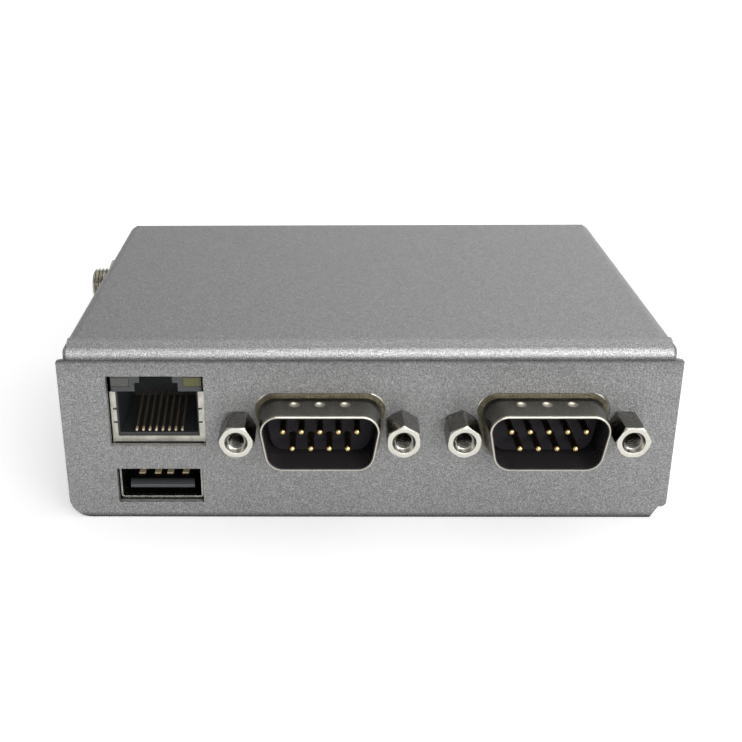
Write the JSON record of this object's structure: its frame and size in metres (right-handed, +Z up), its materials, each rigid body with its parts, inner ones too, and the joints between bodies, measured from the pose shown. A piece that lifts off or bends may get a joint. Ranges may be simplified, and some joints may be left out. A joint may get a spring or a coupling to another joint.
{
  "type": "fanless industrial pc",
  "caption": "Fanless industrial computer in a folded sheet-metal case, with D-sub serial ports, Ethernet and USB sockets in front and a threaded antenna jack on its side.",
  "frame": {"origin": "centre of the case on the plane it stands on; the projecting connectors are not counted", "axes": "+X right as seen from the front, -Y out of the front panel with the ports, +Z up"},
  "size_m": [0.0998, 0.0658, 0.03],
  "materials": {
    "case_coat": "fine-textured silver-grey powder coat",
    "tinned_steel": "tin plated, satin",
    "zinc_steel": "zinc plated",
    "nickel_brass": "nickel plated",
    "gold_contact": "gold plated",
    "black_plastic": "moulded",
    "grey_plastic": "moulded",
    "clear_pipe": "translucent light pipe",
    "green_pipe": "translucent light pipe, unlit",
    "white_plastic": "turned",
    "laminate": "solder mask",
    "chip_epoxy": "moulded",
    "bare_aluminium": "milled",
    "thermal_rubber": "soft, matt",
    "cell_steel": "polished"
  },
  "bodies": {
    "root": {"cover": "case_coat", "base_plate": "case_coat", "case_screws": "zinc_steel", "board_standoffs": "zinc_steel", "board_screws": "zinc_steel", "main_board": "laminate", "processor": "chip_epoxy", "processor_pad": "thermal_rubber", "heat_spreader": "bare_aluminium", "cover_pad": "thermal_rubber", "memory_chips": "chip_epoxy", "flash_chip": "chip_epoxy", "lan_controller": "chip_epoxy", "serial_transceivers": "chip_epoxy", "power_inductors": "chip_epoxy", "power_capacitors": "bare_aluminium", "coin_cell": "cell_steel", "coin_cell_holder": "black_plastic", "wireless_module": "tinned_steel", "antenna_plug": "gold_contact", "antenna_lead": "black_plastic", "sma_body": "nickel_brass", "sma_insulator": "white_plastic", "sma_contact": "gold_contact", "sma_washer": "nickel_brass", "sma_nut": "nickel_brass", "lan_shield": "tinned_steel", "lan_housing": "grey_plastic", "lan_contacts": "gold_contact", "lan_led_left": "clear_pipe", "lan_led_right": "green_pipe", "usb_shell": "tinned_steel", "usb_tongue": "black_plastic", "usb_contacts": "gold_contact", "com1_shell": "tinned_steel", "com1_insulator": "black_plastic", "com1_pins": "gold_contact", "com2_shell": "tinned_steel", "com2_insulator": "black_plastic", "com2_pins": "gold_contact", "com_nuts": "zinc_steel", "jackscrews": "nickel_brass", "inlet_body": "black_plastic", "inlet_pin": "nickel_brass", "inlet_spring": "nickel_brass"}
  },
  "joints": []
}
